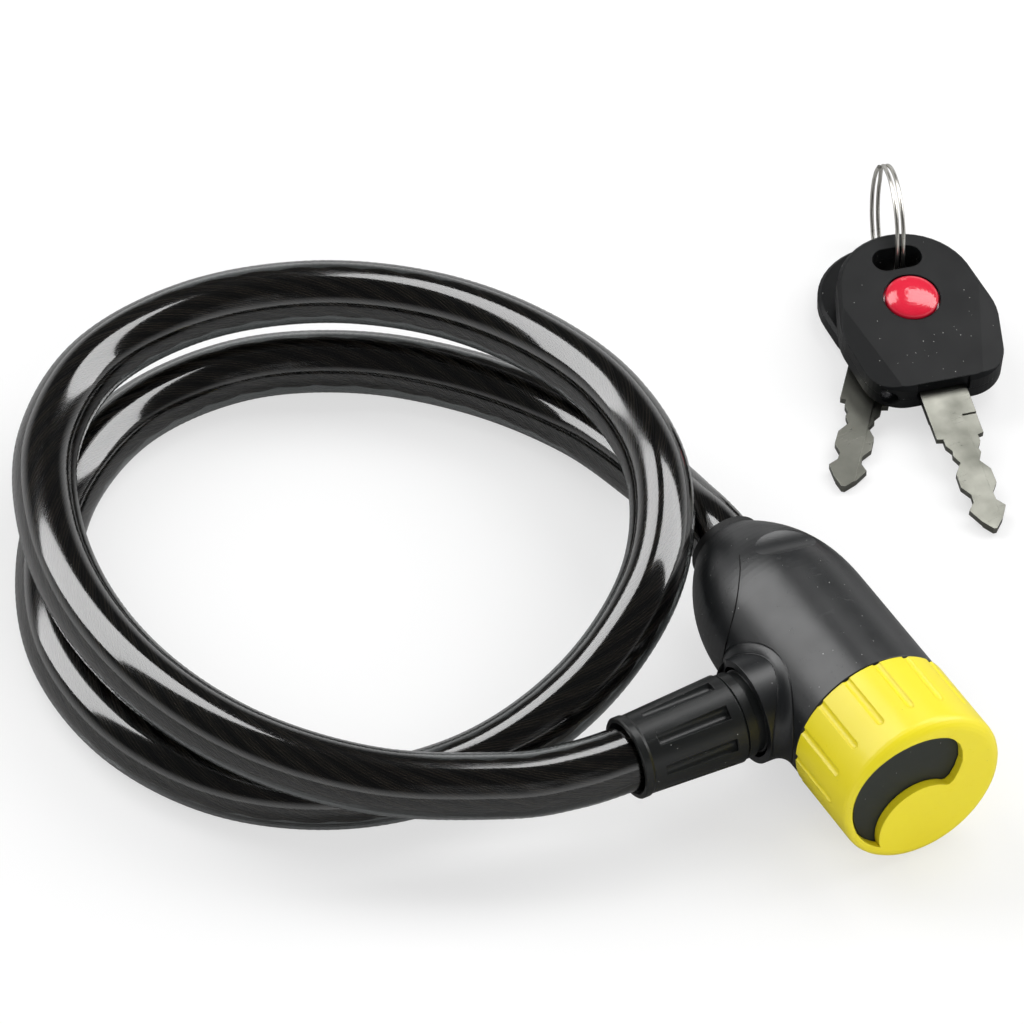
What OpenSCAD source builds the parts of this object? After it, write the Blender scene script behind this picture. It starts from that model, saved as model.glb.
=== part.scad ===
// Cable lock: a coiled steel cable in a clear jacket, a keyed lock head with a turning
// dust cap, a plug that locks into the head's side, and two keys on a split ring.
// Z is up and the floor is z = 0. The origin is the floor point at the middle of the loops.

/* [Cable] */
// Outer diameter of the clear jacket
cable_d = 15; // [13:0.5:16]
// Diameter of the steel rope
rope_d = 8; // [7.6:0.2:8.4]
// Radial gap between rope and jacket
rope_gap = 0.15; // [0.1:0.05:0.3]

/* [Lock head] */
// Diameter of the plastic housing
head_d = 38.8; // [38:0.2:41]
// Length of the housing's straight part
straight_len = 33; // [31:1:38]
// Length of the housing's taper to the nose
taper_len = 33; // [28:1:38]
// Diameter of the housing at its nose
nose_d = 19; // [18:0.5:22]
// Length of the grommet ring around the cable
grommet_len = 2.6; // [2:0.2:4]
// Distance from the cap's seam to the plug's axis
plug_back = 17.5; // [17:0.5:19]
// Outer diameter of the socket collar
collar_d = 24.6; // [24:0.2:27]
// Bore of the socket collar
collar_bore = 21.4; // [21:0.2:22]
// Reach of the collar from the head's axis
collar_reach = 23; // [22:0.5:26]

/* [Lock works] */
// Diameter of the die-cast lock body
body_d = 31.6; // [31:0.2:32]
// Length of the lock body behind the seam
body_len = 39.5; // [38:0.5:41]
// Wall of the lock body below the cylinder sleeve
sleeve_wall = 1.45; // [1.2:0.05:1.6]
// Diameter of the turning key cylinder
rotor_d = 12.4; // [12.2:0.1:12.6]
// Outer diameter of the fixed cylinder sleeve
sleeve_d = 15.8; // [15.4:0.1:16]
// Radial running clearance of turning pieces
run_gap = 0.05; // [0.03:0.01:0.09]
// Clearance around fixed pieces
fit_gap = 0.1; // [0.05:0.05:0.15]
// Height and width of the keyway
keyway = [8.9, 2.4]; // [2:0.1:9]
// Number of wafers
wafer_count = 5; // [3:1:5]
// Offset of the cam's driving pin
cam_throw = 1.6; // [1.4:0.1:1.7]

/* [Dust cap] */
// Diameter of the dust cap
cap_d = 39.6; // [39.4:0.2:42]
// Length of the dust cap
cap_len = 23.1; // [22.6:0.1:25]
// Wall of the dust cap
cap_wall = 2.1; // [2:0.1:2.2]
// Thickness of the dust cap's face
cap_face = 2; // [1.8:0.1:2.2]
// Radius of the cap's front edge
cap_edge = 3; // [2:0.2:4]
// Number of grip grooves
cap_grooves = 16; // [10:1:20]
// Length of a grip groove
groove_len = 14.5; // [10:0.5:16]

/* [Plug] */
// Diameter of the locking pin
pin_d = 9; // [8.6:0.2:9]
// Diameter at the pin's locking groove
pin_neck_d = 5.8; // [5.6:0.2:6]
// Width of the pin's locking groove
pin_neck_w = 3.8; // [3.8:0.1:4.2]
// Reach of the pin past the head's axis
pin_past = 6; // [5.5:0.5:7]
// Distance from the head's axis to the grip's cable end
grip_end = 53; // [51:0.5:56]
// Distance from the head's axis to the grip's front
grip_front = 27; // [26.5:0.5:28]
// Grip diameter at its front
grip_d1 = 20.8; // [20.4:0.2:21.2]
// Grip diameter at its cable end
grip_d2 = 18.6; // [18.2:0.2:19.6]
// Number of long grooves around the grip
grip_grooves = 8; // [6:1:10]

/* [Keys] */
// Thickness of the light key's head
light_t = 8.2; // [8:0.2:8.6]
// Thickness of the spare key's head
spare_t = 4.4; // [4:0.2:4.6]
// Thickness of the blades
blade_t = 2; // [1.6:0.1:2.2]
// Width of the blades at the shoulder
shoulder_w = 11.6; // [11:0.2:12]
// Diameter of the red button
button_d = 12.8; // [11.6:0.2:13]
// Travel of the red button
button_travel = 0.6; // [0.4:0.1:0.7]
// Mean diameter of the split ring
ring_d = 29.2; // [28:0.2:30]
// Wire diameter of the split ring
wire_d = 1; // [0.8:0.1:1]

/* [Hidden] */
$fn = 64;

// The head lies level, on its dust cap
axis_z = cap_d / 2;
head_at = [70, -112, axis_z];
plug_y = head_at[1] + plug_back;
head_r = head_d / 2;
nose_z = -straight_len - taper_len;
seam_gap = 0.3;
jacket_r = cable_d / 2;
rope_r = rope_d / 2;
cable_hole = jacket_r + 0.2;

// Lock works, along the head's axis: z = 0 is the cap's seam, +z is towards the cap's face
spigot_r = cap_d / 2 - cap_wall - run_gap;
plate_t = 1;
plate_z = cap_len - cap_face - 0.3 - plate_t;
body_r = body_d / 2;
rotor_r = rotor_d / 2;
rotor_back = -7;
sleeve_z = 0.3;
tail_r = 4;
clip_t = 0.9;
clip_r = rotor_r + 0.4;
// The key cylinder hangs as low as the walls around its sleeve and its clip let it
clip_wall = 0.9;
key_drop = min(spigot_r - sleeve_d / 2 - sleeve_wall, body_r - clip_r - clip_wall);
cam_top = rotor_back - 2.3;
cam_t = 2.2;
cam_pin_r = 0.8;
bolt_w = 10;
blade_w = pin_neck_w - 0.4;
bolt_front = cam_top - cam_t - 1.1;
bolt_back = bolt_front - 9.4;
bolt_low = -key_drop - 4.7;
bolt_travel = 2 * cam_throw * sin(45);
bolt_step = -pin_d / 2 - 0.25 - bolt_travel;
bolt_top = -pin_neck_d / 2 - 0.3 - bolt_travel;
pin_bore_r = pin_d / 2 + 0.1;
pin_end = pin_past + 1;
flat_x = 15;
ferrule_r = 8.1;
ferrule_len = 11;
screw_z = -body_len + 5.5;
ball_z = 12;
ball_r = 1.2;
ball_at = spigot_r - 0.9;
snap_z = 4;
snap_w = 1;
wafer = [6, 10.3, 1];
wafer_pitch = 3.6;
wafer_first = 16.5;

// Plug, along its own axis: z = 0 is the head's axis, +z is away from the head
shoulder_z = flat_x + 0.3;
shank_end = 25;
plug_ferrule_end = 36;
plug_ferrule_r = 8;
jacket_start = plug_ferrule_end + 0.2;

// Keys: x runs from the ring hole to the blade's tip, z is up from the middle of the head
light_at = [156.5, 20.9, 15.2];
light_turn = -103.7;
light_pitch = 9.6;
spare_at = light_at + [1.6, 2.9, -9.6];
spare_turn = -131;
spare_pitch = 3.7;
ring_at = light_at + [6.1, 13.6, 0.2];
ring_turn = 70;
ring_lean = 3;
hole_w = 12.2;
hole_l = 6.6;
hole_x = 0.4;
blade_start = 34;
blade_tip = 81;
spare_shift = 13.4;
spare_blade_start = 8;
button_x = 12.7;
lamp_x = 35.8;
lamp_y = -13;
screw_x = 32.6;
screw_y = 11;
cell_x = 21;
light_round = [9.3, 0, 16.9];
light_side = [19.5, 3.2, 16];
light_corner = [29.5, 7.6, 9.9];
light_facet = [12, 17, 15, 11];
light_notch = [38.5, 6.5];
screw_reach = 3.4;
spare_round = [4.5, 17.5];
spare_front = [13, 12.5];
spare_hole_x = -1.9;
spare_hole_l = 7;
circuit_x = 20.5;
circuit_r = 12.6;
circuit_end = 8.5;
cavity_r = 13;
head_wall = 1.2;
cut = 0.01;

// Centreline of the cable, from the plug to the nose, resting on the floor
route = [[33.8, -94.5, 19.8], [26, -94.5, 19.8], [17, -94.5, 19.8], [4, -93.5, 20], [-10.5, -89.5, 20.5],
  [-35.5, -76, 22], [-55, -54.5, 23.4], [-66, -28, 23.8], [-69, 0.5, 23.8], [-64.5, 29, 23.8],
  [-52.5, 55, 23.9], [-31, 73.5, 24.3], [-3, 78, 25], [24.5, 69.5, 26], [46.5, 51, 27.4],
  [60.5, 26, 29.2], [66, -2, 31], [61.5, -30.5, 31.6], [46, -54.5, 27], [21.5, -68.5, 18.5],
  [-7, -72.5, 11.5], [-35, -66, 8.2], [-58.5, -49.5, 7.7], [-72, -24.5, 7.7], [-74, 4.5, 7.7],
  [-65, 31.5, 7.7], [-48, 54.5, 7.7], [-23.5, 69.5, 7.7], [5, 71.5, 7.7], [31, 60.5, 7.7],
  [52, 40.5, 7.7], [65.5, 15, 9.2], [70, -13, 13.4], [70, -30, 17.6], [70, -42, 19.8], [70, -57, 19.8],
  [70, -72.3, 19.8]];
join = 8;
steps = 2;
sides = 12;

function unit(v) = v / norm(v);
function held(p, i) = i < 0 ? 2 * p[0] - p[1]
  : i > len(p) - 1 ? 2 * p[len(p) - 1] - p[len(p) - 2] : p[i];
function blend(a, b, c, d, t) = 0.5 * (2 * b + (c - a) * t + (2 * a - 5 * b + 4 * c - d) * t * t
  + (3 * b - a - 3 * c + d) * t * t * t);
function smooth(p, first, last) = concat([for (i = [first:last - 1]) for (k = [0:steps - 1])
  blend(held(p, i - 1), p[i], p[i + 1], held(p, i + 2), k / steps)], [p[last]]);
function tangent(p, i) = unit(held(p, i + 1) - held(p, i - 1));
function hoop(at, t, r, m) = let (side = unit(cross(t, [0, 0, 1])), up = cross(side, t))
  [for (k = [0:m - 1]) at + r * (cos(360 * k / m) * side + sin(360 * k / m) * up)];
function skin(n, m, first, flip) = [for (i = [0:n - 2]) for (k = [0:m - 1])
  let (a = first + i * m + k, b = first + i * m + (k + 1) % m)
  for (f = [[a, b, b + m], [a, b + m, a + m]]) flip ? [f[0], f[2], f[1]] : f];

// One unbroken tube through the points; inner = 0 makes it solid
module tube(points, tangents, outer, inner, m) {
  n = len(points);
  out = [for (i = [0:n - 1]) each hoop(points[i], tangents[i], outer, m)];
  in = inner > 0 ? [for (i = [0:n - 1]) each hoop(points[i], tangents[i], inner, m)] : [];
  e = (n - 1) * m;
  h = n * m;
  ends = inner > 0
    ? [for (k = [0:m - 1]) let (j = (k + 1) % m)
        each [[k, h + k, h + j], [k, h + j, j], [e + k, e + j, h + e + j], [e + k, h + e + j, h + e + k]]]
    : [for (k = [1:m - 2]) each [[0, k + 1, k], [e, e + k, e + k + 1]]];
  walls = inner > 0 ? concat(skin(n, m, 0, false), skin(n, m, h, true)) : skin(n, m, 0, false);
  polyhedron(points = concat(out, in), faces = concat(walls, ends));
}

module cable(first, last, outer, inner, before = 0, after = 0) {
  mid = smooth(route, first, last);
  all = smooth(route, 0, len(route) - 1);
  t = [for (i = [0:len(mid) - 1]) tangent(all, first * steps + i)];
  points = concat(before > 0 ? [mid[0] - before * t[0]] : [], mid,
    after > 0 ? [mid[len(mid) - 1] + after * t[len(mid) - 1]] : []);
  tangents = concat(before > 0 ? [t[0]] : [], t, after > 0 ? [t[len(mid) - 1]] : []);
  tube(points, tangents, outer, inner, sides);
}

whole = smooth(route, 0, len(route) - 1);
near = 6;
least_gap = min([for (i = [0:len(whole) - 1 - near]) for (k = [i + near:len(whole) - 1])
  norm(whole[i] - whole[k])]) - cable_d;
echo(cable_least_gap_to_itself = least_gap);

module in_head() { translate(head_at) rotate([90, 0, 0]) children(); }
module in_plug() { translate([head_at[0], plug_y, axis_z]) rotate([0, -90, 0]) children(); }
module in_light() { translate(light_at) rotate([0, light_pitch, light_turn]) children(); }
module in_spare() { translate(spare_at) rotate([0, spare_pitch, spare_turn]) children(); }
module ring(z, h, outer, inner) {
  translate([0, 0, z]) difference() {
    cylinder(r = outer, h = h);
    translate([0, 0, -cut]) cylinder(r = inner, h = h + 2 * cut);
  }
}
module disc(z, h, r) { translate([0, 0, z]) cylinder(r = r, h = h); }
module across(x0, x1, y, z, r) { translate([x0, y, z]) rotate([0, 90, 0]) cylinder(r = r, h = x1 - x0); }
module box(low, high) { translate(low) cube(high - low); }

// ---- lock head ----
taper_steps = 16;
module housing_form() {
  rotate_extrude() polygon(concat([[0, -seam_gap], [head_r - 0.4, -seam_gap],
    [head_r, -seam_gap - 0.4]],
    [for (i = [0:taper_steps]) let (u = i / taper_steps)
      [head_r - (head_r - nose_d / 2) * u * u, -straight_len - taper_len * u]],
    [[0, nose_z]]));
}
module head_housing() {
  color([0.09, 0.09, 0.1]) in_head() difference() {
    union() {
      housing_form();
      across(-collar_reach, -collar_reach + 14, 0, -plug_back, collar_d / 2);
    }
    disc(-body_len - fit_gap, body_len + 1, body_r + fit_gap);
    disc(nose_z - 1, taper_len, cable_hole);
    across(-collar_reach - 1, -flat_x, 0, -plug_back, collar_bore / 2);
    // thumb dimple on top and the shallow lens on the left flank
    rotate(-11) across(-12, 12, head_r + 7.5, -48.5, 11);
    translate([-head_r - 55.2, 4, -47]) sphere(r = 56);
  }
}
module nose_grommet() {
  color([0.07, 0.07, 0.08]) in_head()
    ring(nose_z - grommet_len, grommet_len - 0.05, nose_d / 2 - 0.6, cable_hole);
}
module lock_body() {
  color([0.62, 0.62, 0.64]) in_head() difference() {
    union() {
      disc(-body_len, body_len, body_r);
      disc(0, plate_z - 0.05, spigot_r);
    }
    translate([0, -key_drop, 0]) {
      disc(sleeve_z, plate_z, sleeve_d / 2 + 0.02);
      disc(rotor_back - cut, sleeve_z - rotor_back + 2 * cut, rotor_r + run_gap);
      disc(bolt_front - cut, rotor_back - bolt_front, clip_r + 0.25);
    }
    box([-bolt_w / 2 - 0.2, bolt_low - 0.5, bolt_back - 0.2],
      [bolt_w / 2 + 0.2, bolt_step + bolt_travel + 0.3, bolt_front]);
    box([-blade_w / 2 - 0.15, bolt_step, bolt_back - 0.2], [blade_w / 2 + 0.15, 0, bolt_front]);
    across(-body_r - 1, pin_end, 0, -plug_back, pin_bore_r);
    box([-body_r - 1, -body_r, -plug_back - 10.9], [-flat_x, body_r, -plug_back + 10.9]);
    disc(-body_len - 1, ferrule_len + 1, ferrule_r + 0.05);
    translate([0, ferrule_r, screw_z]) rotate([-90, 0, 0]) cylinder(r = 1.55, h = body_r);
    ring(snap_z - 0.1, snap_w + 0.2, spigot_r + 1, spigot_r - 0.7);
    across(ball_at - 5, spigot_r + 1, 0, ball_z, ball_r + 0.05);
  }
}
module cylinder_sleeve() {
  color([0.75, 0.62, 0.33]) in_head() translate([0, -key_drop, 0])
    ring(sleeve_z + 0.05, plate_z - sleeve_z - 0.15, sleeve_d / 2, rotor_r + run_gap);
}
module wafer_slots() {
  for (i = [0:wafer_count - 1]) {
    z = wafer_first - i * wafer_pitch;
    box([-wafer[0] / 2 - 0.1, -wafer[1] / 2 - 0.1, z - 0.05],
      [wafer[0] / 2 + 0.1, wafer[1] / 2 + 0.1, z + wafer[2] + 0.05]);
    box([wafer[0] / 2, -1.7, z - 0.05], [wafer[0] / 2 + 1.5, 1.7, z + wafer[2] + 0.05]);
  }
}
module key_cylinder() {
  color([0.8, 0.68, 0.4]) in_head() translate([0, -key_drop, 0]) difference() {
    union() {
      disc(rotor_back, plate_z + plate_t - rotor_back, rotor_r);
      disc(cam_top, rotor_back - cam_top + cut, tail_r);
    }
    box([-keyway[1] / 2, -keyway[0] / 2, rotor_back + 1], [keyway[1] / 2, keyway[0] / 2, cap_len]);
    wafer_slots();
  }
}
module wafers() {
  color([0.72, 0.72, 0.7]) in_head() translate([0, -key_drop, 0])
    for (i = [0:wafer_count - 1]) difference() {
      z = wafer_first - i * wafer_pitch;
      box([-wafer[0] / 2, -wafer[1] / 2, z], [wafer[0] / 2, wafer[1] / 2, z + wafer[2]]);
      box([-keyway[1] / 2 - 0.1, -keyway[0] / 2 + 0.2, z - 1],
        [keyway[1] / 2 + 0.1, keyway[0] / 2 - 0.2, z + 2]);
    }
}
module wafer_springs() {
  color([0.6, 0.6, 0.62]) in_head() translate([0, -key_drop, 0])
    for (i = [0:wafer_count - 1])
      translate([wafer[0] / 2 + 0.75, -1.6, wafer_first - i * wafer_pitch + wafer[2] / 2])
        rotate([-90, 0, 0]) cylinder(r = 0.45, h = 3.2);
}
module cylinder_clip() {
  color([0.5, 0.5, 0.52]) in_head() translate([0, -key_drop, 0])
    ring(rotor_back - clip_t - 0.1, clip_t, clip_r, tail_r + 0.03);
}
module cam() {
  color([0.58, 0.58, 0.6]) in_head() translate([0, -key_drop, 0]) {
    disc(cam_top - cam_t, cam_t - 0.02, rotor_r - 0.6);
    rotate(-45) translate([cam_throw, 0, 0]) disc(cam_top - cam_t - 5, 5 + cut, cam_pin_r);
  }
}
module locking_bolt() {
  color([0.7, 0.7, 0.72]) in_head() difference() {
    union() {
      box([-bolt_w / 2, bolt_low, bolt_back], [bolt_w / 2, bolt_step, bolt_front - 0.1]);
      box([-blade_w / 2, bolt_step - 1, bolt_back], [blade_w / 2, bolt_top, bolt_front - 0.1]);
    }
    box([-bolt_w / 2 - 1, -key_drop - bolt_travel / 2 - cam_pin_r - 0.12, cam_top - cam_t - 5.3],
      [bolt_w / 2 + 1, -key_drop - bolt_travel / 2 + cam_pin_r + 0.12, bolt_front + 1]);
  }
}
module face_plate() {
  color([0.24, 0.26, 0.25]) in_head() difference() {
    disc(plate_z, plate_t, spigot_r - 0.4);
    translate([0, -key_drop, 0]) disc(plate_z - 1, plate_t + 2, rotor_r + run_gap);
  }
}
module cap_snap_ring() {
  color([0.7, 0.7, 0.72]) in_head() ring(snap_z, snap_w, spigot_r + 0.55, spigot_r - 0.65);
}
module detent_ball() {
  color([0.8, 0.8, 0.82]) in_head() translate([ball_at, 0, ball_z]) sphere(r = ball_r);
}
module detent_spring() {
  color([0.6, 0.6, 0.62]) in_head() across(ball_at - 4.9, ball_at - ball_r - 0.02, 0, ball_z, 0.9);
}
module window() {
  // crescent that lies clear of the keyhole until the cap is turned
  difference() {
    translate([-3, 1.2]) circle(r = 15.6);
    translate([-1, -9.1]) circle(r = 10.7);
    polygon([[4.2, 18], [4.6, 15], [6.4, 13.4], [8, 11.2], [8.9, 8.6], [9.1, 5.4], [8.3, 2.6], [7, 0.2],
      [5.9, -0.5], [4.6, -0.2], [3, -2], [3, -20], [20, -20], [20, 20]]);
  }
}
module dust_cap() {
  cap_r = cap_d / 2;
  arc = [for (a = [0:15:90]) [cap_r - cap_edge + cap_edge * cos(a), cap_len - cap_edge + cap_edge * sin(a)]];
  color([0.93, 0.86, 0.16]) in_head() difference() {
    rotate_extrude() polygon(concat([[0, 0], [cap_r, 0]], arc, [[0, cap_len]]));
    disc(-1, cap_len - cap_face + 1, cap_r - cap_wall);
    translate([0, 0, cap_len - cap_face - 1]) linear_extrude(cap_face + 2) window();
    ring(snap_z - 0.1, snap_w + 0.2, spigot_r + 0.6, spigot_r - 1);
    ring(ball_z - 1.5, 3, ball_at + ball_r + 0.1, spigot_r - 1);
    for (i = [0:cap_grooves - 1]) rotate(i * 360 / cap_grooves) translate([cap_r + 0.55, 0, -1]) {
      cylinder(r = 1.1, h = groove_len + 1);
      translate([0, 0, groove_len + 1]) sphere(r = 1.1);
    }
  }
}
module head_ferrule() {
  color([0.66, 0.66, 0.68]) in_head() ring(-body_len, ferrule_len - 0.1, ferrule_r, rope_r + 0.03);
}
module ferrule_screw() {
  color([0.35, 0.35, 0.37]) in_head() translate([0, ferrule_r + 0.02, screw_z]) rotate([-90, 0, 0])
    difference() {
      cylinder(r = 1.5, h = 6.6);
      translate([0, 0, 5]) cylinder(r = 0.8, h = 3, $fn = 6);
    }
}

// ---- cable ----
module cable_jacket() {
  color([0.12, 0.12, 0.13, 0.6]) cable(join, len(route) - 1, jacket_r, rope_r + rope_gap);
}
module cable_rope() {
  color([0.2, 0.17, 0.15]) cable(join, len(route) - 1, rope_r, 0, after = ferrule_len - 0.6);
}
module cable_jacket_end() { color([0.12, 0.12, 0.13, 0.6]) cable(0, join, jacket_r, rope_r + rope_gap); }
module cable_rope_end() {
  color([0.2, 0.17, 0.15]) cable(0, join, rope_r, 0, before = jacket_start - shank_end - 0.1);
}

// ---- plug ----
module plug_pin() {
  r = pin_d / 2;
  color([0.75, 0.75, 0.77]) in_plug() difference() {
    rotate_extrude() polygon([[0, -pin_past], [r - 1.6, -pin_past], [r, -pin_past + 2.2],
      [r, -pin_neck_w / 2], [pin_neck_d / 2, -pin_neck_w / 2], [pin_neck_d / 2, pin_neck_w / 2],
      [r, pin_neck_w / 2], [r, shoulder_z], [7.4, shoulder_z], [7.4, shoulder_z + 2.2],
      [r, shoulder_z + 2.2], [r, shank_end], [0, shank_end]]);
    across(-10, 10, 0, 21, 1.03);
  }
}
module plug_ferrule() {
  color([0.66, 0.66, 0.68]) in_plug() difference() {
    union() {
      ring(shoulder_z + 2.4, shank_end - shoulder_z - 2.4 + cut, plug_ferrule_r, pin_d / 2 + 0.02);
      ring(shank_end, plug_ferrule_end - shank_end, plug_ferrule_r, rope_r + 0.03);
    }
    across(-10, 10, 0, 21, 1.03);
  }
}
module plug_cross_pin() {
  color([0.5, 0.5, 0.52]) in_plug() across(-plug_ferrule_r + 0.1, plug_ferrule_r - 0.1, 0, 21, 1);
}
module plug_rings() {
  bore = plug_ferrule_r + 0.05;
  g = grip_d1 / 2;
  color([0.06, 0.06, 0.07]) in_plug() rotate_extrude()
    polygon([[bore, shoulder_z], [g - 1.5, shoulder_z], [g - 1.2, 20.3], [g - 0.6, 20.5], [g - 0.6, 22.4],
      [g - 1, 22.6], [g - 1, 24.4], [g - 0.4, 24.6], [g - 0.4, grip_front - 0.05],
      [bore, grip_front - 0.05]]);
}
module grip_sleeve() {
  r1 = grip_d1 / 2;
  r2 = grip_d2 / 2;
  inner = plug_ferrule_r + 0.05;
  color([0.07, 0.07, 0.08]) in_plug() difference() {
    rotate_extrude() polygon([[inner, grip_front], [r1 - 0.6, grip_front], [r1, grip_front + 0.6],
      [r2, grip_end - 2.4], [r2 + 0.3, grip_end - 1.8], [r2 + 0.3, grip_end - 0.3],
      [r2, grip_end], [jacket_r + 1, grip_end], [cable_hole, grip_end - 2],
      [cable_hole, plug_ferrule_end + 0.1],
      [inner, plug_ferrule_end + 0.1]]);
    for (i = [0:grip_grooves - 1]) rotate(i * 360 / grip_grooves + 12)
      translate([(r1 + r2) / 2 + 0.7, 0, grip_front + 3.2]) cylinder(r = 1.7, h = 17.6);
  }
}

// ---- keys ----
module light_outline(inset) {
  hull($fn = 48) {
    for (c = [light_round, light_side, light_corner]) for (s = [-1, 1])
      translate([c[0], s * c[1]]) circle(r = c[2] - inset);
  }
}
module spare_outline(inset) {
  hull($fn = 48) {
    translate([spare_round[0], 0]) circle(r = spare_round[1] - inset);
    translate([spare_front[0], 0]) circle(r = spare_front[1] - inset);
  }
}
module ring_hole(t, w, l) {
  for (s = [-1, 1]) translate([0, s * (w - l) / 2, -t]) cylinder(r = l / 2, h = 2 * t);
  box([-l / 2, -(w - l) / 2, -t], [l / 2, (w - l) / 2, t]);
}
blade_edge = [[53, 5.8], [53.3, 4.3], [55.3, 4.3], [57.1, 3.2], [58.5, 3.5], [60.8, 2.4], [63.7, 4.3],
  [67.8, 4.4], [70.4, 2.7], [72.6, 2.8], [74.7, 4.5], [78.3, 2.6], [blade_tip, 0.4]];
module blade(first, low) {
  half = shoulder_w / 2;
  outline = concat([[first, half]], [for (p = blade_edge) [p[0] - low, min(p[1], half)]],
    [for (i = [len(blade_edge) - 1:-1:0]) [blade_edge[i][0] - low, -min(blade_edge[i][1], half)]],
    [[first, -half]]);
  difference() {
    translate([0, 0, -blade_t / 2]) linear_extrude(blade_t) polygon(outline);
    for (a = [0, 180]) rotate([a, 0, 0])
      box([blade_edge[0][0] - low - 6, 2.3, blade_t / 2 - 0.4], [blade_tip + 1, shoulder_w, blade_t]);
  }
}
module head_cavity(z0, z1) {
  translate([circuit_x, 0, z0]) cylinder(r = cavity_r, h = z1 - z0);
  translate([button_x, 0, z0]) cylinder(r = button_d / 2 + 1.2, h = z1 - z0);
}
module blade_pocket() {
  box([blade_start - 0.1, -shoulder_w / 2 - 0.1, -blade_t / 2 - 0.1],
    [50, shoulder_w / 2 + 0.1, blade_t / 2 + 0.1]);
}
module lamp_bore() {
  across(31, 45, lamp_y, 0, 1.6);
  across(lamp_x + 0.6, 45, lamp_y, 0, 2.2);
}
module light_shell(s) {
  // s = 1 is the cover, s = -1 the base; both meet at z = 0
  t = light_t / 2;
  bevel = 0.9;
  hull() {
    translate([0, 0, s > 0 ? 0.02 : -t + bevel]) linear_extrude(t - bevel - 0.02) light_outline(0);
    translate([0, 0, s > 0 ? t - 0.2 : -t]) linear_extrude(0.2) light_outline(bevel);
  }
}
module light_key_cover() {
  t = light_t / 2;
  color([0.08, 0.08, 0.09]) in_light() difference() {
    light_shell(1);
    translate([hole_x, 0, 0]) ring_hole(t + 1, hole_w, hole_l);
    head_cavity(-1, t - head_wall);
    translate([button_x, 0, 0]) cylinder(r = button_d / 2 + 0.5, h = 10);
    for (s = [-1, 1]) translate([light_facet[0], s * light_facet[1], t])
      rotate([0, 0, -s * light_facet[2]]) rotate([-s * light_facet[3], 0, 0])
        box([-40, s > 0 ? 0 : -20, 0], [50, s > 0 ? 20 : 0, 5]);
    blade_pocket();
    box([light_notch[0], -light_notch[1], -1], [blade_edge[0][0], light_notch[1], t + 1]);
    lamp_bore();
    translate([screw_x, screw_y, -1]) cylinder(r = 1.05, h = screw_reach);
  }
}
module light_key_base() {
  t = light_t / 2;
  color([0.08, 0.08, 0.09]) in_light() difference() {
    light_shell(-1);
    translate([hole_x, 0, 0]) ring_hole(t + 1, hole_w, hole_l);
    head_cavity(-t + head_wall, 1);
    blade_pocket();
    lamp_bore();
    translate([screw_x, screw_y, -t - 1]) {
      cylinder(r = 1.1, h = 10);
      cylinder(r = 2.2, h = 3.6);
    }
  }
}
module light_key_blade() { color([0.7, 0.7, 0.68]) in_light() blade(blade_start, 0); }
button_top = light_t / 2 + 1.9;
module light_button() {
  r = button_d / 2;
  dome = 4;
  color([0.85, 0.1, 0.15]) in_light() translate([button_x, 0, 0])
    rotate_extrude() polygon(concat([[0, 1.5], [r - 1.4, 1.5], [r - 1.4, 1.2], [r + 0.9, 1.2], [r + 0.9, 2.2],
      [r, 2.2]], [for (a = [0:9:90]) [r * cos(a), light_t / 2 - 0.1 + (button_top - light_t / 2) * sin(a)]]));
}
module light_circuit() {
  color([0.1, 0.35, 0.2]) in_light() difference() {
    translate([circuit_x, 0, -0.4]) cylinder(r = circuit_r, h = 0.8);
    box([0, -cavity_r, -1], [circuit_end, cavity_r, 1]);
  }
}
module button_cell() {
  color([0.78, 0.78, 0.8]) in_light() translate([cell_x, 0, -light_t / 2 + head_wall + 0.05])
    cylinder(r = 8, h = 1.6);
}
module cell_contact() {
  color([0.8, 0.7, 0.45]) in_light() {
    box([cell_x - 6, -2, -1.15], [cell_x + 6, 2, -0.95]);
    box([cell_x + 5.6, -2, -0.96], [cell_x + 6, 2, -0.42]);
  }
}
module key_lamp() {
  color([0.9, 0.9, 0.95]) in_light() translate([0, lamp_y, 0]) {
    across(31.4, lamp_x, 0, 0, 1.5);
    translate([lamp_x, 0, 0]) sphere(r = 1.5);
  }
}
module key_screw() {
  color([0.6, 0.6, 0.62]) in_light() translate([screw_x, screw_y, -light_t / 2 + 0.9]) difference() {
    union() {
      cylinder(r = 2, h = 1.6);
      cylinder(r = 1, h = 5.2);
    }
    for (a = [0, 90]) rotate(a) box([-1.3, -0.25, -1], [1.3, 0.25, 0.7]);
  }
}
module spare_key_head() {
  t = spare_t / 2;
  color([0.08, 0.08, 0.09]) in_spare() difference() {
    hull() {
      translate([0, 0, -t + 0.7]) linear_extrude(spare_t - 1.4) spare_outline(0);
      translate([0, 0, -t]) linear_extrude(spare_t) spare_outline(0.9);
    }
    translate([spare_hole_x, 0, 0]) ring_hole(t + 1, hole_w, spare_hole_l);
    box([spare_blade_start - 0.1, -shoulder_w / 2 - 0.1, -blade_t / 2 - 0.05],
      [50, shoulder_w / 2 + 0.1, blade_t / 2 + 0.05]);
  }
}
module spare_key_blade() { color([0.7, 0.7, 0.68]) in_spare() blade(spare_blade_start, spare_shift); }

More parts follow.
